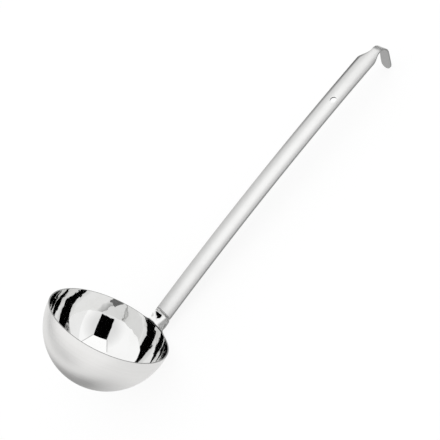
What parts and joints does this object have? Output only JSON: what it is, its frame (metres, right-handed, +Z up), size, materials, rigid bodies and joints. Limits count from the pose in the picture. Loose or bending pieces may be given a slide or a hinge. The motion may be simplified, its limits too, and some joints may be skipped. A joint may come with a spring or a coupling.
{
  "type": "ladle",
  "caption": "Kitchen ladle: a half-round pressed steel bowl with a short hollowed neck, a long dished strip handle welded to it, and a bent hook with a round tongue for hanging.",
  "frame": {"origin": "on the table, under the middle of the ladle's own box as it lies on its bowl and on the tip of its hook", "axes": "+X along the handle from the bowl to the hook, +Z up from the table, +Y across, with the ladle alike on both sides of Y = 0"},
  "size_m": [0.4444, 0.12, 0.1158],
  "materials": {
    "polished_steel": "mirror polished inside and on the neck, satin outside",
    "ground_weld": "ground flush and polished",
    "satin_steel": "brushed lengthwise"
  },
  "bodies": {
    "root": {"bowl": "polished_steel", "weld": "ground_weld", "handle": "satin_steel"}
  },
  "joints": []
}
